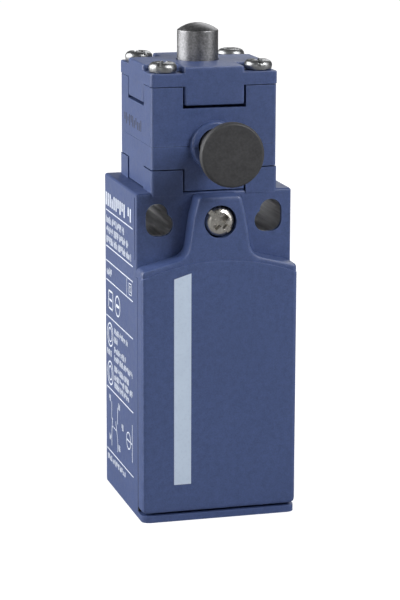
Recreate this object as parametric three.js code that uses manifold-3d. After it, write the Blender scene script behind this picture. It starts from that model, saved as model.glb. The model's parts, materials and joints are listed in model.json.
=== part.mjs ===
// A compact plastic limit switch: a plunger head with a latching manual reset on a narrow case,
// two keyhole fixing holes, a hinged front cover and a contact block with four screw terminals.
//
// Millimetres, +Z up, +Y towards the wall that the switch is screwed to, +X to the right of someone
// who faces the switch. The pieces are drawn in the case's own frame: X from the middle plane, Y from
// the front face of the fixing shoulder, Z from the underside of the case. One group at the end moves
// them so that the origin is on the mounting face, midway between the two fixing holes.
import * as THREE from 'three';
import { mergeVertices } from 'three/addons/utils/BufferGeometryUtils.js';
import Module from 'manifold-3d';

const wasm = await Module();
wasm.setup();

// ---------------------------------------------------------------- driving dimensions

const GAP = 0.3; // between pieces that rest on or sit inside each other
const SEAM = 0.2; // between outer mouldings
const THROUGH = 1; // how far a cutting tool runs past a face
const crisp = 0.1; // rounding of a corner that looks sharp

const caseHalfWidth = 15;
const caseDepth = 25.4; // shoulder front to mounting face
const shoulderTop = 62.2;
const caseWall = 1.9;
const uprightEdge = 0.35; // rounding of the case's upright edges
const shoulderEdge = 0.65; // rounding of the shoulder's top edges
const baseEdge = 1.1; // rounding of the edge where the underside meets the mounting face
const rimFront = -1.1; // front of the rim that the cover closes on
const rimStep = -0.75; // where the rim steps in, which leaves a shadow gap behind the cover
const rimInset = 1.2;
const rimTop = 46.4;
const baseTop = 9; // top of the thick bottom wall
const cavityTop = 50; // underside of the solid shoulder block
const railTop = 1.3; // the ledge under the cover
const railFront = -4.5;
const railEdge = 1.5;
const grooveDepth = 0.4; // the upright groove on each side of the shoulder
const grooveY = [0.85, 1.3];
const grooveHeights = [49.6, 61.4];

const coverHalfWidth = 15.05;
const coverFront = -4.65;
const neckFront = -4.35; // the neck's face lies a little lower than the main face
const coverBack = rimFront - SEAM;
const coverBottom = railTop + 0.35;
const coverWall = 2;
const coverSideWall = 1.2;
const coverEdge = 0.9;
const coverCorner = 48.35; // where the cover's sides end and its sloping flanks start
const arcCrest = 49.75; // the shallow arc where the main face meets the neck
const arcRadius = 40;
const ribThickness = 0.8;
const ribHeight = 1;
const uprightRibX = 4.5;
const uprightRibHeights = [7, 44];
const levelRibHeights = [14, 34];
const levelRibHalfLength = 12;
const gasketWidth = 1.2;
const coverScrewHeight = 57.1;
const coverScrewRadius = 2.88;
const coverRecessRadius = coverScrewRadius + 0.22;
const screwSeat = -2.4; // depth of the recess's floor
const screwShank = 1.45;
const shankBore = screwShank + GAP;
const insertRadius = 2.6; // the threaded insert that the cover's screw bites into
const insertBack = 4.6;
const lugX = 8; // the two lugs that key the cover's lower edge into the case
const lugHeight = 4.9;
const lugHalfWidth = 1.7;
const lugThickness = 1;
const lugBack = 0.2;
const lugClearance = 0.4;
const lugSwing = 1.3; // free height over a lug, for the cover to tilt

const fixingHoleRadius = 2.15;
const fixingHeight = 56.16; // height of the round holes' centres
const fixingRoundX = 10;
const fixingSlotX = 11;
const fixingSlotTop = 58.05; // centre of the slot's upper end
const sleeveWall = 0.6;
const sleeveLip = 0.9; // moulding that covers each end of a sleeve

const entryRadius = 9.25; // core hole of the M20 cable entry
const entryLead = 0.8; // the counterbore around the entry's mouth
const entryY = 10.6;

const headHalfWidth = 12;
const headAxisY = headHalfWidth; // the plunger's axis, on X = 0
const headEdge = 0.6;
const postTop = 66.3;
const partingHeight = 70.73; // the reset housing's parting plane and the stem's axis
const partingGap = 0.05;
const plateGap = 0.08; // under the cap's plate
const notchFloor = 77.7;
const plateBottom = 81.75;
const plateTop = 84.25;
const capTop = 85.4;
const capOverhang = 0.12;
const tongueHalfWidth = 5.78;
const notchHalfWidth = 6.06;
const tongueDrop = 0.5; // free space under the cap's tongues
const headScrewOffset = 9.15; // from the plunger's axis, in X and in Y
const headScrewBore = 1.8;

const plungerRadius = 3.9;
const plungerTop = 92.3;
const plungerShoulder = 90.9; // where the cylinder ends and the dome starts
const plungerTravel = 5;
const collarRadius = 4.6; // the plunger's retaining flange
const chamberRadius = 4.95;
const chamberFloor = 73.9;
const flangeThickness = 1.2;
const rodRadius = 2;
const rodGuideRadius = rodRadius + 0.4;
const rodBottom = 48.6;
const rodTop = 79.1;
const rodCollarRadius = 3.1;
const rodCollar = [66.8, 67.8]; // the return spring pushes up on this collar
const rodGroove = [74.5, 77.1]; // the latch drops into this groove when the plunger is down
const rodGrooveRadius = 1.3;
const rodBoreRadius = 3.5;
const rodBoreFloor = 54;
const returnSpringLength = 12.3;
const bushBottom = 80.7; // the bush that guides the plunger, with the wiper seal on top of it
const bushTop = 83.1;
const bushRadius = 4.9;
const sealTop = 84.4;
const capGasketRadius = 5.7;
const caseGasketRadius = 5.3;
const caseGasketBottom = 61.3;

const stemRadius = 3.1;
const stemBoreRadius = 3.4;
const bossRadius = 4.65; // the low ring around the stem on the housing's front
const bossHeight = 1.2;
const bossEdge = 0.6;
const knobRadius = 5.95;
const knobFace = -12.55;
const resetTravel = 2.5;
const knobThickness = 2.7;
const knobRim = 1.6;
const knobEdge = 0.5;
const stemFlange = [5.3, 6.3]; // the latch's spring pushes on this flange
const stemTailRadius = 1.5;
const stemTailEnd = 8.2;
const latchHalfThickness = 0.8;
const latchHalfWidth = 4.4;
const latchFront = 8.3;
const socketRadius = 2.3;
const socketFront = 6.7;
const latchChamberFront = 1.2; // the chamber for the latch's spring
const latchChamberBack = 6.6;
const latchChamberRadius = 4.5;

const blockHalfWidth = 12.5;
const blockFront = 4;
const blockBack = 22.8;
const blockBottom = 21.4;
const blockTop = cavityTop - 0.4;
const chamberHalfWidth = 5.4;
const chamberBottom = 22;
const chamberBack = 16.6;
const lidBack = 6.6;
const terminalX = 9.1;
const terminalBore = 1.75;
const pocketX = [6.3, 11.9]; // each terminal's pocket in the contact block
const plateX = [6.6, 11.6];
const fingerEnd = 2.8;
const contactX = 3.8;
const carrierTop = 48.4;
const carrierBottom = 29.5;
const stripFront = 9.6; // the terminal strips' upright plates
const stripThickness = 0.8;
const stripBack = stripFront + stripThickness;
const fingerBack = 13.4; // the strips' fingers reach in to the contacts
const stripDrop = 3.2; // from a terminal screw's axis down to the underside of its strip
const fixedTip = 0.6; // how far a fixed contact stands off its strip
const movingTip = 0.4; // how far a moving contact stands off its bridge
const closedBridge = 39; // underside of the bridge that rests on the upper contacts
const openBridge = 30.6; // underside of the bridge that meets the lower contacts
const bridgeThickness = 0.6;
const bridgeHalfWidth = 0.9;
const bridgeHalfLength = 4.9;
const tipRoot = 0.1; // how far a contact's rivet is sunk into its carrier
const windowHalf = 1.2;
const windowPlay = 3.6; // room for a contact's spring in the carrier's window
const contactGap = 0.2;
const upperTerminal = closedBridge + bridgeThickness + movingTip + contactGap + fixedTip + stripDrop;
const lowerTerminal =
  openBridge - movingTip - plungerTravel - contactGap - fixedTip - stripThickness + stripDrop;

// ---------------------------------------------------------------- materials

const plastic = (color, roughness = 0.5) =>
  new THREE.MeshStandardMaterial({ color, roughness, metalness: 0 });
const metal = (color, roughness = 0.35) =>
  new THREE.MeshStandardMaterial({ color, roughness, metalness: 1 });

const blue = 0x46527a;
const black = 0x2b2b2e;
const nitrile = 0x1b1b1d;
const steel = 0xa9abae;
const dullSteel = 0x6f7073;
const zincPlate = 0xb4b6b4;
const nickelPlate = 0xc9c5bd;
const brass = 0xc09a4a;
const silver = 0xd8d8d6;
const ivory = 0xd9d4c4;
const springSteel = 0x9a9ca0;

// ---------------------------------------------------------------- solids

function solid(geometry) {
  const bare = geometry.clone();
  bare.deleteAttribute('normal');
  bare.deleteAttribute('uv');
  const merged = mergeVertices(bare, 1e-4);
  return new wasm.Manifold(
    new wasm.Mesh({
      numProp: 3,
      vertProperties: merged.attributes.position.array,
      triVerts: new Uint32Array(merged.index.array),
    }),
  );
}

const join = (first, ...others) => others.reduce((sum, other) => sum.add(other), first);
const cut = (body, ...tools) => tools.reduce((rest, tool) => rest.subtract(tool), body);

function geometryOf(shape) {
  const mesh = shape.getMesh();
  const shared = new THREE.BufferGeometry();
  shared.setAttribute('position', new THREE.BufferAttribute(new Float32Array(mesh.vertProperties), 3));
  shared.setIndex(new THREE.BufferAttribute(new Uint32Array(mesh.triVerts), 1));
  const geometry = shared.toNonIndexed();
  geometry.computeVertexNormals();
  return geometry;
}

// Limits on either side of a middle value.
const around = (middle, half) => [middle - half, middle + half];

// Limits between two values, whichever is the greater.
const between = (a, b) => [Math.min(a, b), Math.max(a, b)];

// A box between two limits along each axis.
function block([x0, x1], [y0, y1], [z0, z1]) {
  const geometry = new THREE.BoxGeometry(x1 - x0, y1 - y0, z1 - z0);
  geometry.translate((x0 + x1) / 2, (y0 + y1) / 2, (z0 + z1) / 2);
  return solid(geometry);
}

const halfTurn = Math.PI;
const quarterTurn = Math.PI / 2;

// A cylinder whose axis is parallel to Z, from z0 to z1.
function rodZ(radius, [z0, z1], [x, y] = [0, headAxisY], sides = 32) {
  const geometry = new THREE.CylinderGeometry(radius, radius, z1 - z0, sides);
  geometry.rotateX(quarterTurn).translate(x, y, (z0 + z1) / 2);
  return solid(geometry);
}

// A cylinder whose axis is parallel to Y, from y0 to y1.
function rodY(radius, [y0, y1], [x, z], sides = 32) {
  const geometry = new THREE.CylinderGeometry(radius, radius, y1 - y0, sides);
  geometry.translate(x, (y0 + y1) / 2, z);
  return solid(geometry);
}

// A polygon's corners as [x, y, radius], with each corner turned into an arc of that radius.
function rounded(corners, step = halfTurn / 6) {
  const points = [];
  corners.forEach(([x, y, radius], i) => {
    const corner = new THREE.Vector2(x, y);
    const [beforeX, beforeY] = corners[(i + corners.length - 1) % corners.length];
    const [afterX, afterY] = corners[(i + 1) % corners.length];
    const toBefore = new THREE.Vector2(beforeX - x, beforeY - y).normalize();
    const toAfter = new THREE.Vector2(afterX - x, afterY - y).normalize();
    const turn = halfTurn - Math.acos(toBefore.dot(toAfter));
    const direction = -Math.sign(toBefore.cross(toAfter));
    const start = corner.clone().addScaledVector(toBefore, radius * Math.tan(turn / 2));
    const inward = toBefore.clone().add(toAfter).normalize();
    const centre = corner.clone().addScaledVector(inward, radius / Math.cos(turn / 2));
    const startAngle = Math.atan2(start.y - centre.y, start.x - centre.x);
    const steps = Math.max(1, Math.ceil(turn / step));
    for (let k = 0; k <= steps; k++) {
      const angle = startAngle + (direction * turn * k) / steps;
      points.push(new THREE.Vector2(radius * Math.cos(angle), radius * Math.sin(angle)).add(centre));
    }
  });
  return points;
}

const rectangle = ([x0, x1], [y0, y1], radius) =>
  rounded([
    [x0, y0, radius],
    [x1, y0, radius],
    [x1, y1, radius],
    [x0, y1, radius],
  ]);

// An outline in X and Y, extruded from z0 to z1. A bevel rounds the edges of both ends.
function prismGeometry(points, [z0, z1], bevel = 0) {
  const geometry = new THREE.ExtrudeGeometry(new THREE.Shape(points), {
    depth: z1 - z0 - 2 * bevel,
    bevelEnabled: bevel > 0,
    bevelThickness: bevel,
    bevelSize: bevel,
    bevelOffset: -bevel,
    bevelSegments: 2,
  });
  return geometry.translate(0, 0, z0 + bevel);
}

const prismZ = (points, limits, bevel) => solid(prismGeometry(points, limits, bevel));

// An outline in X and Z, extruded from y0 to y1.
function prismY(points, [y0, y1], bevel) {
  return solid(prismGeometry(points, [-y1, -y0], bevel).rotateX(quarterTurn));
}

// An outline in Y and Z, extruded from x0 to x1.
function prismX(points, limits) {
  const cyclic = new THREE.Matrix4().set(0, 0, 1, 0, 1, 0, 0, 0, 0, 1, 0, 0, 0, 0, 0, 1);
  return solid(prismGeometry(points, limits).applyMatrix4(cyclic));
}

// A profile of [radius, height] points turned about Z. It starts and ends on the axis.
function turned(profile, sides = 32) {
  const points = profile.map(([radius, height]) => new THREE.Vector2(radius, height));
  return solid(new THREE.LatheGeometry(points, sides).rotateX(quarterTurn));
}

// The points of a quarter round from one profile point to another, around a centre.
function arc([centreR, centreZ], radius, fromDegrees, toDegrees, steps = 4) {
  const points = [];
  for (let k = 0; k <= steps; k++) {
    const angle = THREE.MathUtils.degToRad(fromDegrees + ((toDegrees - fromDegrees) * k) / steps);
    points.push([centreR + radius * Math.cos(angle), centreZ + radius * Math.sin(angle)]);
  }
  return points;
}

// A coil spring's centre line up Z, with one close turn at each end.
class SpringLine extends THREE.Curve {
  constructor(radius, length, turns, wireRadius) {
    super();
    Object.assign(this, { radius, length, turns, wireRadius });
  }

  getPoint(t) {
    const turn = t * this.turns;
    const closePitch = 2.3 * this.wireRadius;
    const free = this.length - 2 * this.wireRadius - 2 * closePitch;
    const climbed = THREE.MathUtils.clamp((turn - 1) / (this.turns - 2), 0, 1) * free;
    const closed = (Math.min(turn, 1) + Math.max(turn - this.turns + 1, 0)) * closePitch;
    const angle = 2 * Math.PI * turn;
    return new THREE.Vector3(
      this.radius * Math.cos(angle),
      this.radius * Math.sin(angle),
      this.wireRadius + climbed + closed,
    );
  }
}

function spring(radius, length, turns, wireRadius) {
  const section = new THREE.Shape();
  section.absarc(0, 0, wireRadius, 0, 2 * Math.PI);
  return solid(
    new THREE.ExtrudeGeometry(section, {
      steps: turns * 10,
      curveSegments: 2,
      bevelEnabled: false,
      extrudePath: new SpringLine(radius, length, turns, wireRadius),
    }),
  );
}

// ---------------------------------------------------------------- pieces

const fixed = new THREE.Group();
const coverParts = new THREE.Group();
const plungerParts = new THREE.Group();
const carrierParts = new THREE.Group();
const resetParts = new THREE.Group();

function piece(group, name, shape, material) {
  const mesh = new THREE.Mesh(geometryOf(shape), material);
  mesh.name = name;
  group.add(mesh);
  return mesh;
}

// The fixing hole's outline as a tool: a round hole merged with an upright slot beside it.
function keyhole(side, radius, limits) {
  const slotX = side * fixingSlotX;
  const roundX = side * fixingRoundX;
  return join(
    rodY(radius, limits, [roundX, fixingHeight], 24),
    rodY(radius, limits, [slotX, fixingHeight], 24),
    rodY(radius, limits, [slotX, fixingSlotTop], 24),
    block(around(slotX, radius), limits, [fixingHeight, fixingSlotTop]),
    block(between(slotX, roundX), limits, [fixingHeight - radius, fixingHeight]),
  );
}

const headSquare = (grow = 0, radius = headEdge) =>
  rectangle(around(0, headHalfWidth + grow), around(headAxisY, headHalfWidth + grow), radius);

// The plus-shaped outline that keys the head's pieces into each other, with its outer and inner roundings.
function cross(half, reach, outer, inner) {
  const quadrant = [
    [reach, half, outer],
    [half, half, inner],
    [half, reach, outer],
  ];
  const corners = [];
  for (let turn = 0; turn < 4; turn++) {
    const cos = Math.round(Math.cos(turn * quarterTurn));
    const sin = Math.round(Math.sin(turn * quarterTurn));
    for (const [x, y, radius] of quadrant) {
      corners.push([x * cos - y * sin, x * sin + y * cos + headAxisY, radius]);
    }
  }
  return rounded(corners);
}

const corners = [
  ['front_left', -1, -1],
  ['front_right', 1, -1],
  ['rear_left', -1, 1],
  ['rear_right', 1, 1],
];

// The cut that clears such a plus, run past the head's sides.
const crossNotch = (limits) =>
  prismZ(cross(notchHalfWidth, headHalfWidth + 2 * THROUGH, crisp, 0.4), limits);

const headScrewPlace = (sideX, sideY) => [
  sideX * headScrewOffset,
  headAxisY + sideY * headScrewOffset,
];

// Bores for the four head screws between two heights.
const headScrewBores = (limits) =>
  corners.map(([, sideX, sideY]) => rodZ(headScrewBore, limits, headScrewPlace(sideX, sideY), 14));

// The case before it is hollowed: the body, the rim and the ledge in front, and the four posts on top.
function caseShell() {
  const wide = around(0, caseHalfWidth);
  const ahead = railFront - THROUGH;
  const inCase = caseDepth - THROUGH;
  const body = prismZ(rectangle(wide, [0, caseDepth], uprightEdge), [0, shoulderTop]);
  const rim = prismZ(rectangle(wide, [rimStep, inCase], crisp), [0, rimTop]);
  const lip = prismZ(rectangle(around(0, caseHalfWidth - rimInset), [rimFront, inCase], crisp), [0, rimTop]);
  const rail = prismZ(rectangle(wide, [railFront, caseDepth], railEdge), [0, railTop]);
  const sideView = rounded([
    [ahead, 0, crisp],
    [caseDepth, 0, baseEdge],
    [caseDepth, shoulderTop, shoulderEdge],
    [0, shoulderTop, shoulderEdge],
    [0, cavityTop, crisp],
    [ahead, cavityTop, crisp],
  ]);
  const frontView = rounded([
    [-caseHalfWidth, 0, crisp],
    [caseHalfWidth, 0, crisp],
    [caseHalfWidth, shoulderTop, shoulderEdge],
    [-caseHalfWidth, shoulderTop, shoulderEdge],
  ]);
  const shell = join(body, rim, lip, rail)
    .intersect(prismX(sideView, wide))
    .intersect(prismY(frontView, [ahead, caseDepth]));
  const posts = cut(
    prismZ(headSquare(capOverhang), [shoulderTop - shoulderEdge, postTop]),
    crossNotch([shoulderTop, postTop + THROUGH]),
    block(around(0, notchHalfWidth), [-THROUGH, caseDepth], [0, shoulderTop]),
  );
  return join(shell, posts);
}

function baseCase() {
  const inside = around(0, caseHalfWidth - caseWall);
  const cavity = prismZ(
    rectangle(inside, [rimFront - THROUGH, caseDepth - caseWall], 0.8),
    [baseTop, cavityTop],
  );
  // The cavity's mouth ends under the rim's top wall, and the shoulder's front wall closes the rest.
  const rimWall = block(inside, [rimFront, caseWall], [rimTop - caseWall, rimTop]);
  const frontWall = block(inside, [0, caseWall], [rimTop - caseWall, cavityTop]);
  const sleeveSeats = [-1, 1].map((side) =>
    keyhole(side, fixingHoleRadius + sleeveWall + GAP, [sleeveLip, caseDepth - sleeveLip]),
  );
  const fixingHoles = [-1, 1].map((side) =>
    keyhole(side, fixingHoleRadius, [-THROUGH, caseDepth + THROUGH]),
  );
  const lugPockets = [-1, 1].map((side) =>
    block(
      around(side * lugX, lugHalfWidth + lugClearance),
      [rimFront - THROUGH, lugBack + lugClearance],
      [lugHeight - lugClearance, lugHeight + lugThickness + lugClearance + lugSwing],
    ),
  );
  const sideGrooves = [-1, 1].map((side) =>
    block(around(side * caseHalfWidth, grooveDepth), grooveY, grooveHeights),
  );
  return cut(
    join(cut(caseShell(), cavity), rimWall, frontWall),
    ...sleeveSeats,
    ...fixingHoles,
    ...lugPockets,
    ...sideGrooves,
    ...headScrewBores([shoulderTop - GAP, postTop + THROUGH]),
    rodZ(entryRadius, [-THROUGH, baseTop + THROUGH], [0, entryY], 48),
    rodZ(entryRadius + entryLead, [-THROUGH, entryLead], [0, entryY], 48),
    rodZ(rodGuideRadius, [cavityTop - THROUGH, rodBoreFloor + THROUGH]),
    rodZ(rodBoreRadius, [rodBoreFloor, shoulderTop + THROUGH]),
    rodZ(caseGasketRadius + GAP, [caseGasketBottom - SEAM, shoulderTop + THROUGH], undefined, 40),
    rodY(insertRadius + GAP, [-THROUGH, insertBack + GAP], [0, coverScrewHeight]),
  );
}

function fixingSleeve(side) {
  const limits = [sleeveLip + GAP / 2, caseDepth - sleeveLip - GAP / 2];
  return cut(
    keyhole(side, fixingHoleRadius + sleeveWall, limits),
    keyhole(side, fixingHoleRadius, [-THROUGH, caseDepth + THROUGH]),
  );
}

const coverInsert = () =>
  cut(
    rodY(insertRadius, [SEAM, insertBack], [0, coverScrewHeight]),
    rodY(shankBore, [-THROUGH, insertBack + THROUGH], [0, coverScrewHeight], 24),
  );

// The cover's bell-shaped outline: a wide body, sloping flanks and a neck for the screw.
function coverOutline() {
  const rightHalf = [
    [coverHalfWidth, coverBottom, 1],
    [coverHalfWidth, coverCorner, 1],
    [5.95, 50.7, 2.9],
    [5.75, 55.5, 25],
    [4.1, 61.95, 1.05],
  ];
  const leftHalf = rightHalf.map(([x, z, radius]) => [-x, z, radius]).reverse();
  return rounded([...rightHalf, ...leftHalf], halfTurn / 12);
}

// Everything below a wide arc that crosses the cover at the foot of the neck.
function belowCoverArc() {
  const depth = [coverFront - THROUGH, 0];
  const disc = rodY(arcRadius, depth, [0, arcCrest - arcRadius], 120);
  return join(disc, block(around(0, 2 * coverHalfWidth), depth, [-THROUGH, rimTop]));
}

// The cover: an open-backed shell with stiffening ribs inside, two lugs at its foot and the screw's recess.
function frontCover() {
  const outline = coverOutline();
  const past = 3; // runs past the back so that only the front edge is rounded
  const neckLayer = prismY(outline, [neckFront, past], coverEdge);
  const mainLayer = prismY(outline, [coverFront, past], coverEdge).intersect(belowCoverArc());
  const floor = coverFront + coverWall;
  const root = floor - 0.2; // the lugs and ribs start inside the front wall
  const ceiling = rimTop + SEAM;
  const everyX = around(0, 2 * coverHalfWidth);
  const shell = cut(
    join(neckLayer, mainLayer),
    block(everyX, [-SEAM, past + THROUGH], [-THROUGH, shoulderTop + THROUGH]),
    block(everyX, [coverBack, past + THROUGH], [-THROUGH, ceiling]),
    prismY(
      rectangle(around(0, coverHalfWidth - coverSideWall), [coverBottom + coverSideWall, ceiling], 0.8),
      [floor, past + THROUGH],
    ),
  );
  const lugs = [-1, 1].map((side) =>
    block(around(side * lugX, lugHalfWidth), [root, lugBack], [lugHeight, lugHeight + lugThickness]),
  );
  const ribDepth = [root, floor + ribHeight];
  const uprightRibs = [-1, 1].map((side) =>
    block(around(side * uprightRibX, ribThickness / 2), ribDepth, uprightRibHeights),
  );
  const levelRibs = levelRibHeights.map((height) =>
    block(around(0, levelRibHalfLength), ribDepth, around(height, ribThickness / 2)),
  );
  return cut(
    join(shell, ...lugs, ...uprightRibs, ...levelRibs),
    gasketRing(GAP),
    rodY(coverRecessRadius, [coverFront - THROUGH, screwSeat + SEAM], [0, coverScrewHeight], 40),
    rodY(shankBore, [coverFront - THROUGH, THROUGH], [0, coverScrewHeight], 24),
  );
}

// The cover's gasket: a rectangular ring that presses on the case's rim. It can be grown by a clearance.
function gasketRing(clearance = 0) {
  const halfWidth = coverHalfWidth - coverSideWall - SEAM;
  const bottom = coverBottom + coverSideWall + SEAM;
  const limits = [coverFront + coverWall + SEAM, coverBack + clearance * 4];
  const ringEdge = (inset, radius) =>
    rectangle(around(0, halfWidth - inset), [bottom + inset, rimTop - inset], radius);
  return cut(
    prismY(ringEdge(-clearance, 1), limits),
    prismY(ringEdge(gasketWidth + clearance, 0.5), around(0, 10)),
  );
}

// A pan-head screw pointing down Z, with its head's seat at Z = 0: a slot and a deeper cross in its head.
// The recess grows with the head.
function panScrew({ headRadius, headHeight, shankRadius, length, tipRadius = shankRadius, tip = 0.5 }) {
  const domeRadius = headHeight * 0.62;
  const domeCentre = [headRadius - domeRadius, headHeight - domeRadius];
  const body = turned(
    [
      [0, -length],
      [tipRadius, -length],
      [tipRadius, -length + tip],
      [shankRadius, -length + tip + 0.2],
      [shankRadius, 0],
      [headRadius - 0.15, 0],
      ...arc(domeCentre, domeRadius, 0, 78, 3),
      [0, headHeight + 0.08],
    ],
    24,
  );
  const slot = (halfX, halfY, floor) =>
    block(
      around(0, headRadius * halfX),
      around(0, headRadius * halfY),
      [headHeight * floor, headHeight + THROUGH],
    );
  return cut(
    body,
    slot(0.95, 0.15, 0.6),
    slot(0.575, 0.18, 0.3),
    slot(0.18, 0.575, 0.3),
    rodZ(headRadius * 0.33, [headHeight * 0.25, headHeight + THROUGH], [0, 0], 12),
  );
}

function coverScrew() {
  return panScrew({
    headRadius: coverScrewRadius,
    headHeight: screwSeat - neckFront + 0.2, // stands a little proud of the neck
    shankRadius: screwShank,
    length: 3 - screwSeat, // ends 3 mm inside the case
    tipRadius: 1.1,
    tip: 1.2,
  });
}

const headScrew = () =>
  panScrew({
    headRadius: 2.65,
    headHeight: 1.7,
    shankRadius: 1.5,
    length: plateTop + SEAM - shoulderTop,
  });

// The spring chamber and the guide for the latch, cut out of both halves of the reset housing.
function resetCavities() {
  const axis = [0, partingHeight];
  return [
    rodY(stemBoreRadius, [-bossHeight - THROUGH, 2], axis),
    rodY(latchChamberRadius, [latchChamberFront, latchChamberBack], axis, 36),
    rodY(socketRadius + 0.4, [latchChamberBack - THROUGH, 9], axis, 24),
    block(around(0, latchHalfWidth + 0.4), [4.4, 20], around(partingHeight, latchHalfThickness + 0.35)),
  ];
}

// The ring around the stem, drawn whole and then split between the housing's halves.
function stemBoss() {
  const inside = stemRadius - 0.5; // the stem's bore cuts this away
  return solid(
    new THREE.LatheGeometry(
      [
        [inside, -THROUGH],
        [bossRadius, -THROUGH],
        ...arc([bossRadius - bossEdge, bossHeight - bossEdge], bossEdge, 0, 90),
        [inside, bossHeight],
        [inside, -THROUGH],
      ].map(([radius, height]) => new THREE.Vector2(radius, height)),
      48,
    ),
  )
    .rotate([180, 0, 0])
    .translate([0, 0, partingHeight]);
}

const bossHalf = (z0, z1) => block(around(0, bossRadius + THROUGH), around(0, 2 * bossHeight), [z0, z1]);

function resetHousingLower() {
  const bottom = postTop + SEAM;
  const top = partingHeight - partingGap / 2;
  const body = prismZ(headSquare(), [bottom, top]);
  const tongue = prismZ(cross(tongueHalfWidth, headHalfWidth, 0.3, 0.4), [shoulderTop + SEAM, top]);
  const boss = cut(stemBoss(), bossHalf(top, top + 2 * bossRadius));
  return cut(
    join(body, tongue, boss),
    ...resetCavities(),
    ...headScrewBores([bottom - THROUGH, top + THROUGH]),
    rodZ(rodBoreRadius, [shoulderTop - THROUGH, top + THROUGH]),
  );
}

function resetHousingUpper() {
  const bottom = partingHeight + partingGap / 2;
  const top = plateBottom - plateGap;
  const boss = cut(stemBoss(), bossHalf(bottom - 2 * bossRadius, bottom));
  return cut(
    join(prismZ(headSquare(), [bottom, top]), boss),
    crossNotch([notchFloor, top + THROUGH]),
    ...resetCavities(),
    ...headScrewBores([bottom - THROUGH, top + THROUGH]),
    rodZ(rodGuideRadius, [bottom - THROUGH, chamberFloor + THROUGH]),
    rodZ(chamberRadius, [chamberFloor, top + THROUGH], undefined, 36),
    rodZ(capGasketRadius + GAP, [notchFloor - 0.8, top + THROUGH], undefined, 40),
  );
}

function headCap() {
  const plate = prismZ(headSquare(capOverhang, 0.7), [plateBottom, plateTop], 0.25);
  const raised = prismZ(
    cross(tongueHalfWidth, headHalfWidth + capOverhang, 0.6, 0.8),
    [notchFloor + tongueDrop, capTop],
    0.45,
  );
  return cut(
    join(plate, raised),
    ...headScrewBores([plateBottom - THROUGH, plateTop + THROUGH]),
    rodZ(chamberRadius, [notchFloor, bushBottom], undefined, 36),
    rodZ(bushRadius + GAP, [bushBottom - THROUGH, sealTop + GAP], undefined, 36),
    rodZ(plungerRadius + SEAM, [notchFloor, capTop + THROUGH], undefined, 40),
  );
}

// A flat ring around the plunger's axis.
const ring = (inner, outer, [z0, z1], sides = 36) =>
  cut(
    rodZ(outer, [z0, z1], undefined, sides),
    rodZ(inner, [z0 - THROUGH, z1 + THROUGH], undefined, sides),
  );

// The wiper seal: a ring whose lip leans in to the plunger at its top.
function plungerSeal() {
  const inner = plungerRadius + GAP;
  const bottom = bushTop + SEAM;
  return solid(
    new THREE.LatheGeometry(
      [
        [inner + 0.35, bottom],
        [bushRadius, bottom],
        [bushRadius, sealTop],
        [inner, sealTop],
        [inner, sealTop - 0.3],
        [inner + 0.35, bottom],
      ].map(([radius, height]) => new THREE.Vector2(radius, height)),
      36,
    ).rotateX(quarterTurn),
  ).translate([0, headAxisY, 0]);
}

// The steel plunger: a domed pin with a flange that keeps it in the cap.
function plunger() {
  const domeHeight = plungerTop - plungerShoulder;
  const domeRadius = (plungerRadius ** 2 + domeHeight ** 2) / (2 * domeHeight);
  const domeAngle = THREE.MathUtils.radToDeg(Math.asin(plungerRadius / domeRadius));
  const flangeTop = bushBottom - SEAM;
  const flangeBottom = flangeTop - flangeThickness;
  return turned(
    [
      [0, flangeBottom],
      [collarRadius, flangeBottom],
      [collarRadius, flangeTop],
      [plungerRadius, flangeTop],
      [plungerRadius, plungerShoulder - 0.1],
      ...arc([0, plungerTop - domeRadius], domeRadius, 90 - domeAngle + 1, 90, 5),
    ],
    36,
  ).translate([0, headAxisY, 0]);
}

// The push rod: a collar for the return spring and, above it, the groove that the latch drops into.
function pushRod() {
  const [collarBottom, collarTop] = rodCollar;
  const [grooveBottom, grooveTop] = rodGroove;
  return turned(
    [
      [0, rodBottom],
      [rodRadius - 0.4, rodBottom],
      [rodRadius, rodBottom + 0.4],
      [rodRadius, collarBottom],
      [rodCollarRadius, collarBottom],
      [rodCollarRadius, collarTop],
      [rodRadius, collarTop],
      [rodRadius, grooveBottom],
      [rodGrooveRadius, grooveBottom],
      [rodGrooveRadius, grooveTop - 0.5],
      [rodRadius, grooveTop],
      [rodRadius, rodTop],
      [0, rodTop],
    ],
    24,
  ).translate([0, headAxisY, 0]);
}

// Turns a piece drawn up Z so that it runs along the stem's axis, from front to back.
const alongStem = (shape) => shape.rotate([-90, 0, 0]).translate([0, 0, partingHeight]);

function resetStem() {
  const front = knobFace + knobRim - 0.1;
  const [flangeFront, flangeBack] = stemFlange;
  const flangeRadius = latchChamberRadius - 0.4;
  return alongStem(
    turned([
      [0, front],
      [stemRadius - 0.3, front],
      [stemRadius, front + 0.3],
      [stemRadius, flangeFront],
      [flangeRadius, flangeFront],
      [flangeRadius, flangeBack],
      [stemTailRadius, flangeBack],
      [stemTailRadius, stemTailEnd],
      [0, stemTailEnd],
    ]),
  );
}

// The knob: a flat disc with a rim, coned behind, and a socket for the end of the stem.
function resetKnob() {
  const rimBack = knobFace + knobRim;
  const back = knobFace + knobThickness;
  const socketFloor = rimBack - 0.1 - GAP;
  const profile = [
    [0, knobFace],
    ...arc([knobRadius - knobEdge, knobFace + knobEdge], knobEdge, -90, 0, 3),
    [knobRadius, rimBack],
    [knobRadius - 0.4, rimBack + 0.25],
    [stemRadius + 1, back],
    [stemRadius + GAP, back],
    [stemRadius + GAP, socketFloor],
    [0, socketFloor],
  ];
  return alongStem(turned(profile, 40));
}

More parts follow.
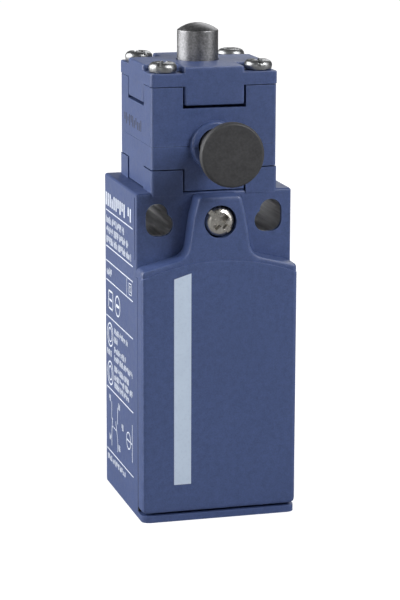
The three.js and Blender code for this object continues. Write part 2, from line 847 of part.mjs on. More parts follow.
// The latch: a flat frame around the push rod, with a socket on the end of the stem.
function latchSlide() {
  const axis = [0, partingHeight];
  const thickness = around(partingHeight, latchHalfThickness);
  const catchEdge = headAxisY - rodRadius - GAP;
  const clearBack = headAxisY + rodRadius + resetTravel + GAP;
  const frame = cut(
    block(around(0, latchHalfWidth), [latchFront, clearBack + 1], thickness),
    block(around(0, rodGuideRadius), [catchEdge, clearBack], around(partingHeight, THROUGH)),
  );
  const socket = rodY(socketRadius, [socketFront, latchFront + GAP], axis, 20);
  return cut(
    join(frame, socket),
    rodY(stemTailRadius + GAP, [socketFront - THROUGH, stemTailEnd + GAP], axis, 20),
  );
}

// The contact block: a chamber for the carrier, and for each terminal a pocket, a finger slot and a bore.
function contactHousing() {
  const cuts = [
    block(
      around(0, chamberHalfWidth),
      [blockFront - THROUGH, chamberBack],
      [chamberBottom, blockTop + THROUGH],
    ),
  ];
  for (const side of [-1, 1]) {
    for (const height of [upperTerminal, lowerTerminal]) {
      const [inner, outer] = pocketX;
      const slotHeights = [height - stripDrop - GAP, height - stripDrop + stripThickness + GAP];
      cuts.push(
        block(
          between(side * inner, side * outer),
          [blockFront - THROUGH, stripBack + GAP],
          [height - 3.6, height + 3.4],
        ),
        block(
          between(side * (chamberHalfWidth - THROUGH / 2), side * outer),
          [stripFront - GAP, fingerBack + GAP],
          slotHeights,
        ),
        rodY(1.8, [stripBack, 13.2], [side * terminalX, height], 16),
      );
    }
  }
  return cut(
    block(around(0, blockHalfWidth), [blockFront, blockBack], [blockBottom, blockTop]),
    ...cuts,
  );
}

// The lid over the contact chamber, with a grip rib on its front.
const contactLid = () =>
  join(
    prismY(
      rectangle(around(0, chamberHalfWidth - GAP), [chamberBottom + 0.4, blockTop - 0.4], 0.5),
      [blockFront + 0.2, lidBack],
    ),
    block(around(0, 0.6), around(blockFront, 0.4), [27, 44]),
  );

// A terminal strip: an upright plate for the screw, a finger into the chamber and a silver contact on it.
function fixedContact(side, height, contactUp) {
  const bottom = height - stripDrop;
  const top = bottom + stripThickness;
  const tip = contactUp ? [top - tipRoot, top + fixedTip] : [bottom - fixedTip, bottom + tipRoot];
  const [plateInner, plateOuter] = plateX;
  return cut(
    join(
      block(between(side * plateInner, side * plateOuter), [stripFront, stripBack], [bottom, height + 2.8]),
      block(between(side * fingerEnd, side * plateOuter), [stripFront, fingerBack], [bottom, top]),
      rodZ(0.9, tip, [side * contactX, headAxisY], 16),
    ),
    rodY(terminalBore, [stripFront - THROUGH, stripBack + THROUGH], [side * terminalX, height], 16),
  );
}

// The plate that a terminal screw clamps onto a core.
function terminalClamp(side, height) {
  const x = side * terminalX;
  const plate = prismY(rectangle(around(x, 2.4), [height - 2.3, height + 2.6], 0.5), [7.4, 8.3]);
  return cut(plate, rodY(terminalBore, [7, 9], [x, height], 16));
}

// A terminal screw pointing down Z, with its head's seat at Z = 0 and a combined slot and cross.
function terminalScrew() {
  const shankRadius = 1.4;
  const headRadius = 2.4;
  const headHeight = 2;
  const tip = -5.4;
  const body = turned(
    [
      [0, tip],
      [shankRadius - 0.3, tip],
      [shankRadius, tip + 0.3],
      [shankRadius, 0],
      [headRadius, 0],
      [headRadius, headHeight - 0.6],
      [headRadius - 0.3, headHeight - 0.1],
      [0, headHeight],
    ],
    16,
  );
  const slot = block(around(0, headRadius + THROUGH), around(0, 0.4), [1.1, headHeight + THROUGH]);
  const crossSlot = block(around(0, 0.4), around(0, 1.5), [0.9, headHeight + THROUGH]);
  return cut(body, slot, crossSlot);
}

// The carrier: a block with a foot for its spring and a window for each contact bridge.
function contactCarrier() {
  const windowY = around(headAxisY, windowHalf);
  return cut(
    join(
      block(around(0, 2.3), around(headAxisY, 2.2), [carrierBottom, carrierTop]),
      rodZ(1.3, [carrierBottom - 1.9, carrierBottom + 0.1], undefined, 16),
    ),
    block(around(0, 3), windowY, [closedBridge - windowPlay, closedBridge + bridgeThickness + GAP]),
    block(around(0, 3), windowY, [openBridge - GAP, openBridge + bridgeThickness + windowPlay]),
  );
}

// A contact bridge: a bar across the chamber with a silver contact near each end.
function contactBridge(bottom, contactsUp) {
  const top = bottom + bridgeThickness;
  const tip = contactsUp ? [top - tipRoot, top + movingTip] : [bottom - movingTip, bottom + tipRoot];
  return join(
    block(around(0, bridgeHalfLength), around(headAxisY, bridgeHalfWidth), [bottom, top]),
    rodZ(0.8, tip, [-contactX, headAxisY], 16),
    rodZ(0.8, tip, [contactX, headAxisY], 16),
  );
}

// ---------------------------------------------------------------- assembly

// Each terminal's place, its side, its screw's height and whether its contact faces up.
const terminals = [
  ['upper_left', -1, upperTerminal, false],
  ['upper_right', 1, upperTerminal, false],
  ['lower_left', -1, lowerTerminal, true],
  ['lower_right', 1, lowerTerminal, true],
];

function addCase() {
  piece(fixed, 'base_case', baseCase(), plastic(blue));
  piece(fixed, 'fixing_sleeve_left', fixingSleeve(-1), metal(dullSteel, 0.4));
  piece(fixed, 'fixing_sleeve_right', fixingSleeve(1), metal(dullSteel, 0.4));
  piece(fixed, 'cover_insert', coverInsert(), metal(brass));
  piece(
    fixed,
    'case_gasket',
    ring(rodBoreRadius + GAP, caseGasketRadius, [caseGasketBottom, shoulderTop]),
    plastic(nitrile, 0.8),
  );
}

function addCover() {
  piece(coverParts, 'front_cover', frontCover(), plastic(blue));
  piece(coverParts, 'cover_gasket', gasketRing(), plastic(nitrile, 0.8));
  const screw = piece(coverParts, 'cover_screw', coverScrew(), metal(nickelPlate, 0.3));
  screw.rotation.set(quarterTurn, 0, THREE.MathUtils.degToRad(-45));
  screw.position.set(0, screwSeat, coverScrewHeight);
}

function addHead() {
  piece(fixed, 'reset_housing_lower', resetHousingLower(), plastic(blue));
  piece(fixed, 'reset_housing_upper', resetHousingUpper(), plastic(blue));
  piece(fixed, 'head_cap', headCap(), plastic(blue));
  piece(fixed, 'plunger_bush', ring(plungerRadius + 0.25, bushRadius, [bushBottom, bushTop]), metal(brass));
  piece(fixed, 'plunger_seal', plungerSeal(), plastic(nitrile, 0.8));
  piece(
    fixed,
    'cap_gasket',
    ring(chamberRadius + 0.05, capGasketRadius, [notchFloor - 0.6, notchFloor + 0.3]),
    plastic(nitrile, 0.8),
  );
  corners.forEach(([place, sideX, sideY], i) => {
    const screw = piece(fixed, `head_screw_${place}`, headScrew(), metal(zincPlate, 0.3));
    const [x, y] = headScrewPlace(sideX, sideY);
    screw.position.set(x, y, plateTop + SEAM);
    screw.rotation.z = THREE.MathUtils.degToRad(60 + 25 * i);
  });
}

function addPlunger() {
  piece(plungerParts, 'plunger', plunger(), metal(steel));
  piece(plungerParts, 'push_rod', pushRod(), plastic(ivory));
  const coil = spring(2.75, returnSpringLength, 8, 0.3);
  const returnSpring = piece(fixed, 'return_spring', coil, metal(springSteel));
  returnSpring.position.set(0, headAxisY, rodBoreFloor + SEAM);
}

function addReset() {
  piece(resetParts, 'reset_knob', resetKnob(), plastic(black, 0.6));
  piece(resetParts, 'reset_stem', resetStem(), plastic(black, 0.5));
  piece(resetParts, 'latch_slide', latchSlide(), metal(steel));
  const latchSpring = piece(fixed, 'latch_spring', spring(3.7, 3.8, 4, 0.15), metal(springSteel));
  latchSpring.rotation.x = -quarterTurn;
  latchSpring.position.set(0, latchChamberFront + 0.15, partingHeight);
}

function addContacts() {
  piece(fixed, 'contact_housing', contactHousing(), plastic(black, 0.55));
  piece(fixed, 'contact_lid', contactLid(), plastic(ivory));
  for (const [place, side, height, contactUp] of terminals) {
    piece(fixed, `fixed_contact_${place}`, fixedContact(side, height, contactUp), metal(brass));
    piece(fixed, `terminal_clamp_${place}`, terminalClamp(side, height), metal(zincPlate));
    const screw = piece(fixed, `terminal_screw_${place}`, terminalScrew(), metal(zincPlate));
    screw.rotation.x = quarterTurn;
    screw.position.set(side * terminalX, 7.1, height);
  }
  piece(carrierParts, 'contact_carrier', contactCarrier(), plastic(ivory));
  piece(carrierParts, 'contact_bridge_closed', contactBridge(closedBridge, true), metal(silver));
  piece(carrierParts, 'contact_bridge_open', contactBridge(openBridge, false), metal(silver));
  const springs = [
    ['contact_spring_closed', closedBridge - 3.4],
    ['contact_spring_open', openBridge + bridgeThickness + 0.2],
  ];
  for (const [name, bottom] of springs) {
    const coil = piece(carrierParts, name, spring(0.75, 3.2, 4, 0.15), metal(springSteel));
    coil.position.set(0, headAxisY, bottom);
  }
  const carrierSpring = piece(fixed, 'carrier_spring', spring(1.95, 7, 5, 0.2), metal(springSteel));
  carrierSpring.position.set(0, headAxisY, chamberBottom + SEAM);
}

addCase();
addCover();
addHead();
addPlunger();
addReset();
addContacts();

const limitSwitch = new THREE.Group();
limitSwitch.add(fixed, coverParts, plungerParts, carrierParts, resetParts);
limitSwitch.position.set(0, -caseDepth, -fixingHeight);

const part = new THREE.Group();
part.add(limitSwitch);

export default part;
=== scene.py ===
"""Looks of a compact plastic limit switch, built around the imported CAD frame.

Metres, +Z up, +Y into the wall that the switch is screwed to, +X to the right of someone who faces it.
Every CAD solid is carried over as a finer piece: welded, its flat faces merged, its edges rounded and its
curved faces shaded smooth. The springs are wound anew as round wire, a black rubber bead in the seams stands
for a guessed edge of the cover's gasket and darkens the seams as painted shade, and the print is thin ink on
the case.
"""

import json
import math
import random

import bmesh
import bpy
from mathutils import Matrix, Quaternion, Vector


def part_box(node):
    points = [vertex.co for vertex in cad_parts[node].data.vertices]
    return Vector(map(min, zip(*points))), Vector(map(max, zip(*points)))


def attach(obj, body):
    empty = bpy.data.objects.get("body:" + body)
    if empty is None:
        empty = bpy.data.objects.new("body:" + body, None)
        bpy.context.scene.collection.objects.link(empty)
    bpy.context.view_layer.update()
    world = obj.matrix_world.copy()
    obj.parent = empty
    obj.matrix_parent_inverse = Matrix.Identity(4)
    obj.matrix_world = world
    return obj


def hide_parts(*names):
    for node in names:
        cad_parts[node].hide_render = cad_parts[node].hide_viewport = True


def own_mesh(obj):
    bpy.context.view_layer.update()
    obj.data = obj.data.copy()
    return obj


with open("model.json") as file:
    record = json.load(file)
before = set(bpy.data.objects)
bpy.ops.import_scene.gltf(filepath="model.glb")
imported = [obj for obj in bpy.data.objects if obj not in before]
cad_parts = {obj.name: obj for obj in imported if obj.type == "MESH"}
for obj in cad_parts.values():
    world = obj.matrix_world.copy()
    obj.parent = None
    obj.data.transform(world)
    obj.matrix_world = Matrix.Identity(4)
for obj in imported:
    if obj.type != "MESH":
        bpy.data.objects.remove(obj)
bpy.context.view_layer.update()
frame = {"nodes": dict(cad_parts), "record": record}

MM = 0.001

# ---------------------------------------------------------------- places worked out from the frame

case_low, case_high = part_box("base_case")
head_low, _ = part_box("reset_housing_upper")
cover_low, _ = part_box("front_cover")


def off_wall(millimetres):
    """Y of a point that lies this far in front of the mounting face."""
    return case_high.y - millimetres * MM


def above_base(millimetres):
    """Z of a point that lies this far above the case's underside."""
    return case_low.z + millimetres * MM


# ---------------------------------------------------------------- materials


class Look:
    """A material with one Principled shader, and short ways to add the nodes that vary it."""

    def __init__(self, name, roughness, metallic=0.0, specular=0.5):
        self.material = bpy.data.materials.new(name)
        self.material.use_nodes = True
        self.nodes = self.material.node_tree.nodes
        self.links = self.material.node_tree.links
        self.shader = self.nodes["Principled BSDF"]
        self.shader.inputs["Roughness"].default_value = roughness
        self.shader.inputs["Metallic"].default_value = metallic
        self.shader.inputs["Specular IOR Level"].default_value = specular
        self.place = self.nodes.new("ShaderNodeTexCoord").outputs["Object"]
        self.normal = None

    def noise(self, per_metre, detail=2.0, stretch=(1, 1, 1)):
        """Noise with that many features a metre, drawn out along the axes whose stretch is under 1."""
        mapping = self.nodes.new("ShaderNodeMapping")
        mapping.inputs["Scale"].default_value = stretch
        texture = self.nodes.new("ShaderNodeTexNoise")
        texture.inputs["Scale"].default_value = per_metre
        texture.inputs["Detail"].default_value = detail
        self.links.new(self.place, mapping.inputs["Vector"])
        self.links.new(mapping.outputs["Vector"], texture.inputs["Vector"])
        return texture.outputs["Fac"]

    def spread(self, value, low, high, start=0.3, end=0.7):
        """The value's span from start to end, mapped to the span from low to high."""
        node = self.nodes.new("ShaderNodeMapRange")
        node.inputs["From Min"].default_value = start
        node.inputs["From Max"].default_value = end
        node.inputs["To Min"].default_value = low
        node.inputs["To Max"].default_value = high
        self.links.new(value, node.inputs["Value"])
        return node.outputs["Result"]

    def sum(self, first, second, weight=1.0):
        """The first value plus the second times its weight."""
        node = self.nodes.new("ShaderNodeMath")
        node.operation = "MULTIPLY_ADD"
        node.inputs[1].default_value = weight
        self.links.new(second, node.inputs[0])
        self.links.new(first, node.inputs[2])
        return node.outputs["Value"]

    def product(self, first, second):
        node = self.nodes.new("ShaderNodeMath")
        node.operation = "MULTIPLY"
        self.links.new(first, node.inputs[0])
        self.links.new(second, node.inputs[1])
        return node.outputs["Value"]

    def mixed(self, factor, first, second):
        """A colour between two, which are each a colour or another mix."""
        node = self.nodes.new("ShaderNodeMix")
        node.data_type = "RGBA"
        factor_socket, first_socket, second_socket = (
            next(s for s in node.inputs if s.identifier == name)
            for name in ("Factor_Float", "A_Color", "B_Color")
        )
        self.links.new(factor, factor_socket)
        for socket, colour in ((first_socket, first), (second_socket, second)):
            if isinstance(colour, tuple):
                socket.default_value = (*colour, 1)
            else:
                self.links.new(colour, socket)
        return next(s for s in node.outputs if s.identifier == "Result_Color")

    def edges(self, radius, sharpness):
        """1 along sharp edges and 0 on open faces, from how far an edge's rounding would turn the normal."""
        rounded = self.nodes.new("ShaderNodeBevel")
        rounded.samples = 4
        rounded.inputs["Radius"].default_value = radius
        true = self.nodes.new("ShaderNodeNewGeometry")
        dot = self.nodes.new("ShaderNodeVectorMath")
        dot.operation = "DOT_PRODUCT"
        self.links.new(rounded.outputs["Normal"], dot.inputs[0])
        self.links.new(true.outputs["Normal"], dot.inputs[1])
        return self.spread(dot.outputs["Value"], 1, 0, 1 - sharpness, 1)

    def colour(self, value):
        self.links.new(value, self.shader.inputs["Base Color"])

    def roughness(self, value):
        self.links.new(value, self.shader.inputs["Roughness"])

    def bump(self, height, depth):
        """Relief of that depth, in metres, on top of any relief added before."""
        node = self.nodes.new("ShaderNodeBump")
        node.inputs["Distance"].default_value = depth
        self.links.new(height, node.inputs["Height"])
        if self.normal is not None:
            self.links.new(self.normal, node.inputs["Normal"])
        self.normal = node.outputs["Normal"]
        self.links.new(self.normal, self.shader.inputs["Normal"])


def moulded_plastic(name, dark, light, wear_and_highlight, roughness=0.43, grain=3400, relief=0.006 * MM):
    """Spark-eroded plastic: a fine mottled grain, cloudier patches, and edges painted a little paler, partly
    as wear and partly as a painted highlight where the edges' rounding would catch the light.
    """
    look = Look(name, roughness)
    fine = look.noise(grain, 3)
    coarse = look.noise(grain / 3.5, 2)
    clouds = look.noise(55, 2)
    speckle = look.sum(look.spread(fine, 0, 0.6), look.spread(coarse, 0, 0.4))
    body = look.mixed(speckle, dark, light)
    cloudy = look.mixed(look.spread(clouds, 0, 0.25), body, dark)
    # Sharp edges turn towards the paler colour: partly wear, partly a painted highlight standing in for the
    # light caught by their rounding.
    scuff_and_highlight_mask = look.product(look.edges(0.35 * MM, 0.12), look.spread(coarse, 0.15, 0.6))
    look.colour(look.mixed(scuff_and_highlight_mask, cloudy, wear_and_highlight))
    look.roughness(look.spread(look.sum(coarse, clouds, 0.5), roughness - 0.07, roughness + 0.07, 0.5, 1.0))
    look.bump(look.sum(fine, coarse, 0.6), relief)
    return look.material


def metal_finish(name, dark, light, roughness, speckle=3000, stretch=(1, 1, 1), relief=0.0015 * MM):
    """Metal whose tone, gloss and relief vary together, with handling marks at a coarser scale."""
    look = Look(name, roughness, metallic=1.0)
    fine = look.noise(speckle, 3, stretch)
    marks = look.noise(speckle / 9, 2)
    tone = look.sum(look.spread(fine, 0, 0.75), look.spread(marks, 0, 0.25))
    look.colour(look.mixed(tone, dark, light))
    look.roughness(look.spread(look.sum(fine, marks, 0.6), roughness - 0.07, roughness + 0.09, 0.5, 1.1))
    look.bump(fine, relief)
    return look.material


def drawn_steel():
    """The sleeves in the fixing holes: dull drawn tube, with streaks along the hole."""
    look = Look("sleeve_steel", 0.36, metallic=1.0)
    streaks = look.noise(1500, 3, (1, 0.05, 1))
    patches = look.noise(300, 2, (1, 0.3, 1))
    tone = look.sum(look.spread(streaks, 0, 0.8), look.spread(patches, 0, 0.3))
    look.colour(look.mixed(tone, (0.24, 0.24, 0.245), (0.80, 0.80, 0.81)))
    look.roughness(look.spread(streaks, 0.28, 0.50))
    look.bump(streaks, 0.02 * MM)
    return look.material


def rubber():
    look = Look("nitrile", 0.72, specular=0.3)
    grain = look.noise(4200, 3)
    bloom = look.noise(220, 3)
    look.colour(look.mixed(look.spread(bloom, 0, 1), (0.010, 0.010, 0.011), (0.022, 0.022, 0.023)))
    look.roughness(look.spread(look.sum(grain, bloom, 0.5), 0.62, 0.85, 0.5, 1.0))
    look.bump(grain, 0.006 * MM)
    return look.material


def ink(name, colour, bare):
    """Pad-printed ink: thin enough for the plastic's colour to show through in places."""
    look = Look(name, 0.5)
    thin = look.noise(1700, 3)
    uneven = look.noise(240, 2)
    cover = look.sum(look.spread(thin, 0, 0.12, 0.5, 0.85), look.spread(uneven, 0, 0.06))
    look.colour(look.mixed(cover, colour, bare))
    look.roughness(look.spread(thin, 0.42, 0.62))
    look.bump(thin, 0.003 * MM)
    return look.material


# The third colour of each plastic paints its edges paler: partly wear, partly a painted highlight.
BLUE_DARK = (0.044, 0.069, 0.172)
BLUE_LIGHT = (0.068, 0.105, 0.258)
BLUE_WEAR_AND_HIGHLIGHT = (0.12, 0.17, 0.35)

LOOKS = {
    "case_plastic": moulded_plastic("case_plastic", BLUE_DARK, BLUE_LIGHT, BLUE_WEAR_AND_HIGHLIGHT),
    "knob_plastic": moulded_plastic(
        "knob_plastic",
        (0.021, 0.021, 0.023),
        (0.049, 0.049, 0.052),
        (0.12, 0.12, 0.125),
        roughness=0.58,
        grain=2700,
    ),
    "block_plastic": moulded_plastic(
        "block_plastic",
        (0.011, 0.011, 0.012),
        (0.019, 0.019, 0.021),
        (0.05, 0.05, 0.052),
        roughness=0.34,
        grain=3200,
        relief=0.003 * MM,
    ),
    "ivory_plastic": moulded_plastic(
        "ivory_plastic",
        (0.56, 0.52, 0.43),
        (0.64, 0.60, 0.51),
        (0.74, 0.71, 0.63),
        roughness=0.36,
        grain=2800,
        relief=0.003 * MM,
    ),
    "sleeve_steel": drawn_steel(),
    "nitrile": rubber(),
    "plunger_steel": metal_finish(
        "plunger_steel", (0.15, 0.15, 0.155), (0.35, 0.35, 0.36), 0.40, 2800, relief=0.003 * MM
    ),
    "zinc_plate": metal_finish(
        "zinc_plate", (0.28, 0.285, 0.29), (0.40, 0.405, 0.41), 0.36, 2600, relief=0.0006 * MM
    ),
    "nickel_plate": metal_finish(
        "nickel_plate", (0.46, 0.44, 0.41), (0.60, 0.58, 0.54), 0.30, 2600, relief=0.0006 * MM
    ),
    "spring_steel": metal_finish("spring_steel", (0.42, 0.42, 0.43), (0.62, 0.62, 0.63), 0.30, 5000),
    "brass": metal_finish("brass", (0.62, 0.43, 0.17), (0.80, 0.60, 0.28), 0.28, 2600),
    "contact_silver": metal_finish("contact_silver", (0.74, 0.73, 0.70), (0.90, 0.89, 0.86), 0.22, 2600),
}
WHITE_INK = ink("white_ink", (0.80, 0.85, 0.93), BLUE_LIGHT)
STRIPE_INK = ink("stripe_ink", (0.56, 0.66, 0.80), BLUE_LIGHT)
DARK_INK = ink("dark_ink", (0.030, 0.038, 0.075), BLUE_DARK)

SLOT_OF = {subpart["node"]: subpart["material_slot"] for subpart in frame["record"]["subparts"]}

# ---------------------------------------------------------------- pieces

WELD = 0.002 * MM  # points closer than this are one point
FLAT = math.radians(0.6)  # faces closer to one plane than this are one face
ROUND = math.radians(60)  # facets of a tube that meet at less than this are shaded as one round


def new_piece(name, mesh, material):
    piece = bpy.data.objects.new(name, mesh)
    bpy.context.scene.collection.objects.link(piece)
    mesh.materials.clear()
    mesh.materials.append(material)
    return piece


def body_of_node(node):
    bodies = frame["record"]["behaviour"]["bodies"]
    return next(body for body, members in bodies.items() if node in members)


def stands_for(piece, node):
    """The piece takes a CAD node's place on the same body, and the node is hidden."""
    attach(piece, body_of_node(node))
    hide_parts(node)
    return piece


def smooth_shading(piece, limit):
    """Smooth faces, split at edges sharper than the limit, with flat faces kept flat beside round ones."""
    mesh = piece.data
    solid = bmesh.new()
    solid.from_mesh(mesh)
    for face in solid.faces:
        face.smooth = True
    for edge in solid.edges:
        edge.smooth = len(edge.link_faces) == 2 and edge.calc_face_angle(math.pi) < limit
    solid.to_mesh(mesh)
    solid.free()
    weighted = piece.modifiers.new("flat faces stay flat", "WEIGHTED_NORMAL")
    weighted.keep_sharp = True
    weighted.mode = "FACE_AREA_WITH_ANGLE"


def refined(node, edge, rounds_over=math.radians(40)):
    """A finer copy of a CAD node: edges sharper than rounds_over get a rounding of the given width."""
    solid = bmesh.new()
    solid.from_mesh(frame["nodes"][node].data)
    bmesh.ops.remove_doubles(solid, verts=solid.verts, dist=WELD)
    bmesh.ops.dissolve_limit(solid, angle_limit=FLAT, verts=solid.verts, edges=solid.edges, delimit=set())
    bmesh.ops.bevel(
        solid,
        geom=[e for e in solid.edges if len(e.link_faces) == 2 and e.calc_face_angle(0) > rounds_over],
        offset=edge,
        offset_type="OFFSET",
        segments=2,
        profile=0.5,
        affect="EDGES",
        clamp_overlap=True,
        loop_slide=True,
    )
    mesh = bpy.data.meshes.new(node + "_finished")
    solid.to_mesh(mesh)
    solid.free()
    piece = new_piece(node + "_finished", mesh, LOOKS[SLOT_OF[node]])
    smooth_shading(piece, rounds_over)
    return stands_for(piece, node)


def tube(name, rings, material):
    """A closed tube through rings of points, each with as many points as the others."""
    solid = bmesh.new()
    loops = [[solid.verts.new(point) for point in ring] for ring in rings]
    sides = len(rings[0])
    for before, after in zip(loops, loops[1:]):
        for side in range(sides):
            beside = (side + 1) % sides
            solid.faces.new((before[side], before[beside], after[beside], after[side]))
    solid.faces.new(reversed(loops[0]))
    solid.faces.new(loops[-1])
    bmesh.ops.recalc_face_normals(solid, faces=solid.faces)
    mesh = bpy.data.meshes.new(name)
    solid.to_mesh(mesh)
    solid.free()
    piece = new_piece(name, mesh, material)
    smooth_shading(piece, ROUND)
    return piece


def coil(node, turns, wire_radius, axis):
    """A CAD spring wound anew as round wire, inside its solid's box, with closed ends."""
    low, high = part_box(node)
    along = "xyz".index(axis)
    across = (along + 1) % 3
    length = high[along] - low[along]
    radius = (high[across] - low[across]) / 2 - wire_radius
    sides = 10
    steps_per_turn = 28
    closed_pitch = 2.05 * wire_radius
    free = length - 2 * wire_radius - 2 * closed_pitch
    upright = Vector((0, 0, 1))
    turned = upright.rotation_difference(Vector([float(k == along) for k in range(3)]))
    place = Matrix.Translation((low + high) / 2) @ turned.to_matrix().to_4x4()
    rings = []
    for step in range(turns * steps_per_turn + 1):
        turn = step / steps_per_turn
        climbed = min(max((turn - 1) / (turns - 2), 0), 1) * free
        closed = (min(turn, 1) + max(turn - turns + 1, 0)) * closed_pitch
        angle = 2 * math.pi * turn
        outward = Vector((math.cos(angle), math.sin(angle), 0))
        middle = outward * radius + upright * (wire_radius + climbed + closed - length / 2)
        ring = []
        for side in range(sides):
            around = 2 * math.pi * side / sides
            offset = outward * math.cos(around) + upright * math.sin(around)
            ring.append(place @ (middle + offset * wire_radius))
        rings.append(ring)
    return stands_for(tube(node + "_wire", rings, LOOKS["spring_steel"]), node)


def squashed(piece):
    """The spring gets its own copy of its mesh; nothing here shortens it."""
    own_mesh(piece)


def seam_shade_bead(name, side):
    """A black rubber bead down the seam on one side: a guessed edge of the cover's gasket, and painted shade
    that darkens the seam. It sinks in towards the top, where the seam is left less dark.
    """
    rim, cover_back = off_wall(26.15), off_wall(26.7)  # the two faces that the seam lies between
    foot, top = above_base(1.55), above_base(46.2)
    clearance = 0.02 * MM
    half_width = (rim - cover_back) / 2 - clearance
    half_depth = 0.4 * MM
    proud, sunk = 0.045 * MM, 0.115 * MM  # of the case's side, at the foot and at the top
    steps, sides = 24, 20
    rings = []
    for step in range(steps + 1):
        share = step / steps
        sinks = min(max(share * 2 - 0.6, 0), 1)
        recess = (proud + sunk) * sinks * sinks * (3 - 2 * sinks) - proud
        centre_x = case_high.x - recess - half_depth
        ring = []
        for k in range(sides):
            angle = 2 * math.pi * k / sides
            # the roots square the oval off, so that the bead fills its seam
            depth, width = (math.copysign(math.sqrt(abs(v)), v) for v in (math.cos(angle), math.sin(angle)))
            x = side * (centre_x + half_depth * depth)
            y = (rim + cover_back) / 2 + half_width * width
            ring.append((x, y, foot + (top - foot) * share))
        rings.append(ring)
    # The black bead paints the shade of the seam, and stands for a guessed edge of the gasket.
    piece = tube(name, rings, LOOKS["nitrile"])
    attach(piece, body_of_node("cover_gasket"))


# ---------------------------------------------------------------- print

INK_LIFT = 0.004 * MM  # between the plastic and the underside of the ink
INK_DEPTH = 0.018 * MM


class Sheet:
    """Ink on one flat face. A point on it is (across, up) in mm: across runs as the reader sees it."""

    def __init__(self, origin, across, up):
        self.origin, self.across, self.up = Vector(origin), Vector(across), Vector(up)
        self.out = self.across.cross(self.up)
        self.solid = bmesh.new()

    def at(self, point, lift):
        return self.origin + (self.across * point[0] + self.up * point[1]) * MM + self.out * lift

    def patch(self, outline):
        """A filled, convex outline that runs anticlockwise."""
        under = [self.solid.verts.new(self.at(p, INK_LIFT)) for p in outline]
        over = [self.solid.verts.new(self.at(p, INK_LIFT + INK_DEPTH)) for p in outline]
        self.solid.faces.new(over)
        self.solid.faces.new(reversed(under))
        for i in range(len(outline)):
            j = (i + 1) % len(outline)
            self.solid.faces.new((under[i], under[j], over[j], over[i]))

    def bar(self, left, right, bottom, top):
        self.patch([(left, bottom), (right, bottom), (right, top), (left, top)])

    def line(self, start, end, width):
        start, end = Vector(start), Vector(end)
        side = (end - start).normalized().orthogonal() * width / 2
        self.patch([start - side, end - side, end + side, start + side])

    def ring(self, centre, radius, width):
        """A closed ring, drawn as short straight patches."""
        count = 28
        for k in range(count):
            corners = []
            for angle, r in ((k, radius), (k + 1, radius), (k + 1, radius - width), (k, radius - width)):
                turn = 2 * math.pi * angle / count
                corners.append((centre[0] + r * math.cos(turn), centre[1] + r * math.sin(turn)))
            self.patch(corners)

    def greeked(self, left, right, bottom, height, draw, width=1.0):
        """A row of upright strokes in word-like groups: it has the weight of text and says nothing."""
        stroke = height * 0.19 * width
        step = height * 0.40 * width
        place = left
        while place < right - stroke:
            for _ in range(draw.randint(5, 12)):
                if place > right - stroke:
                    break
                foot = bottom + height * draw.choice((0, 0, 0, 0.35))
                head = bottom + height * draw.choice((1, 1, 0.72))
                self.bar(place, place + stroke, foot, head)
                place += step
            place += step

    def finish(self, name, material, body):
        bmesh.ops.recalc_face_normals(self.solid, faces=self.solid.faces)
        mesh = bpy.data.meshes.new(name)
        self.solid.to_mesh(mesh)
        self.solid.free()
        piece = new_piece(name, mesh, material)
        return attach(piece, body)


def side_print():
    """The data panel on the case's left side: ruled fields, rows of greeked text and a contact diagram."""
    width = 21.7
    panel = Sheet((case_low.x, off_wall(1.0), case_low.z), (0, -1, 0), (0, 0, 1))
    draw = random.Random(7)
    rule = 0.21
    thin_rule = rule * 0.8
    ring_x = 3.1
    for height in (55.15, 48.0, 45.1, 41.3, 34.1, 19.7, 7.0):
        panel.bar(0, width, height - rule / 2, height + rule / 2)
    panel.greeked(0, 0.97 * width, 56.1, 2.55, draw, 1.6)
    rows = [
        # left and right end as shares of the panel, foot and height in mm
        (0.02, 0.68, 52.7, 1.4),
        (0.02, 0.84, 50.7, 1.4),
        (0.02, 0.96, 48.7, 1.4),
        (0.03, 0.22, 42.4, 1.5),
        (0.02, 0.20, 26.4, 1.2),
        (0.30, 0.80, 31.6, 1.2),
        (0.30, 0.46, 29.9, 1.2),
        (0.30, 0.74, 27.9, 1.2),
        (0.30, 0.98, 26.2, 1.2),
        (0.30, 0.86, 24.1, 1.2),
        (0.30, 0.98, 22.4, 1.2),
        (0.30, 0.86, 20.8, 1.2),
        (0.03, 0.70, 5.0, 1.15),
    ]
    for left, right, foot, tall in rows:
        panel.greeked(left * width, right * width, foot, tall, draw)
    panel.line((16.9, 41.6), (16.9, 44.8), thin_rule)
    for half in (1.15, 0.6):
        square_outline(panel, (19.6, 43.2), half, thin_rule)
    for height in (30.7, 22.95):
        panel.ring((ring_x, height), 2.45, 0.3)
        panel.ring((ring_x, height), 1.5, 0.25)
    panel.ring((9.4, 37.7), 2.1, 0.3)
    panel.bar(8.2, 10.6, 37.4, 38.0)
    square_outline(panel, (3.7, 37.7), 1.9, 0.35)
    panel.bar(2.7, 4.7, 37.5, 37.9)
    contact_diagram(panel, draw)
    panel.finish("side_print", WHITE_INK, "case")


def square_outline(panel, centre, half, width):
    x, y = centre
    panel.bar(x - half, x + half, y + half - width, y + half)
    panel.bar(x - half, x + half, y - half, y - half + width)
    panel.bar(x - half, x - half + width, y - half, y + half)
    panel.bar(x + half - width, x + half, y - half, y + half)


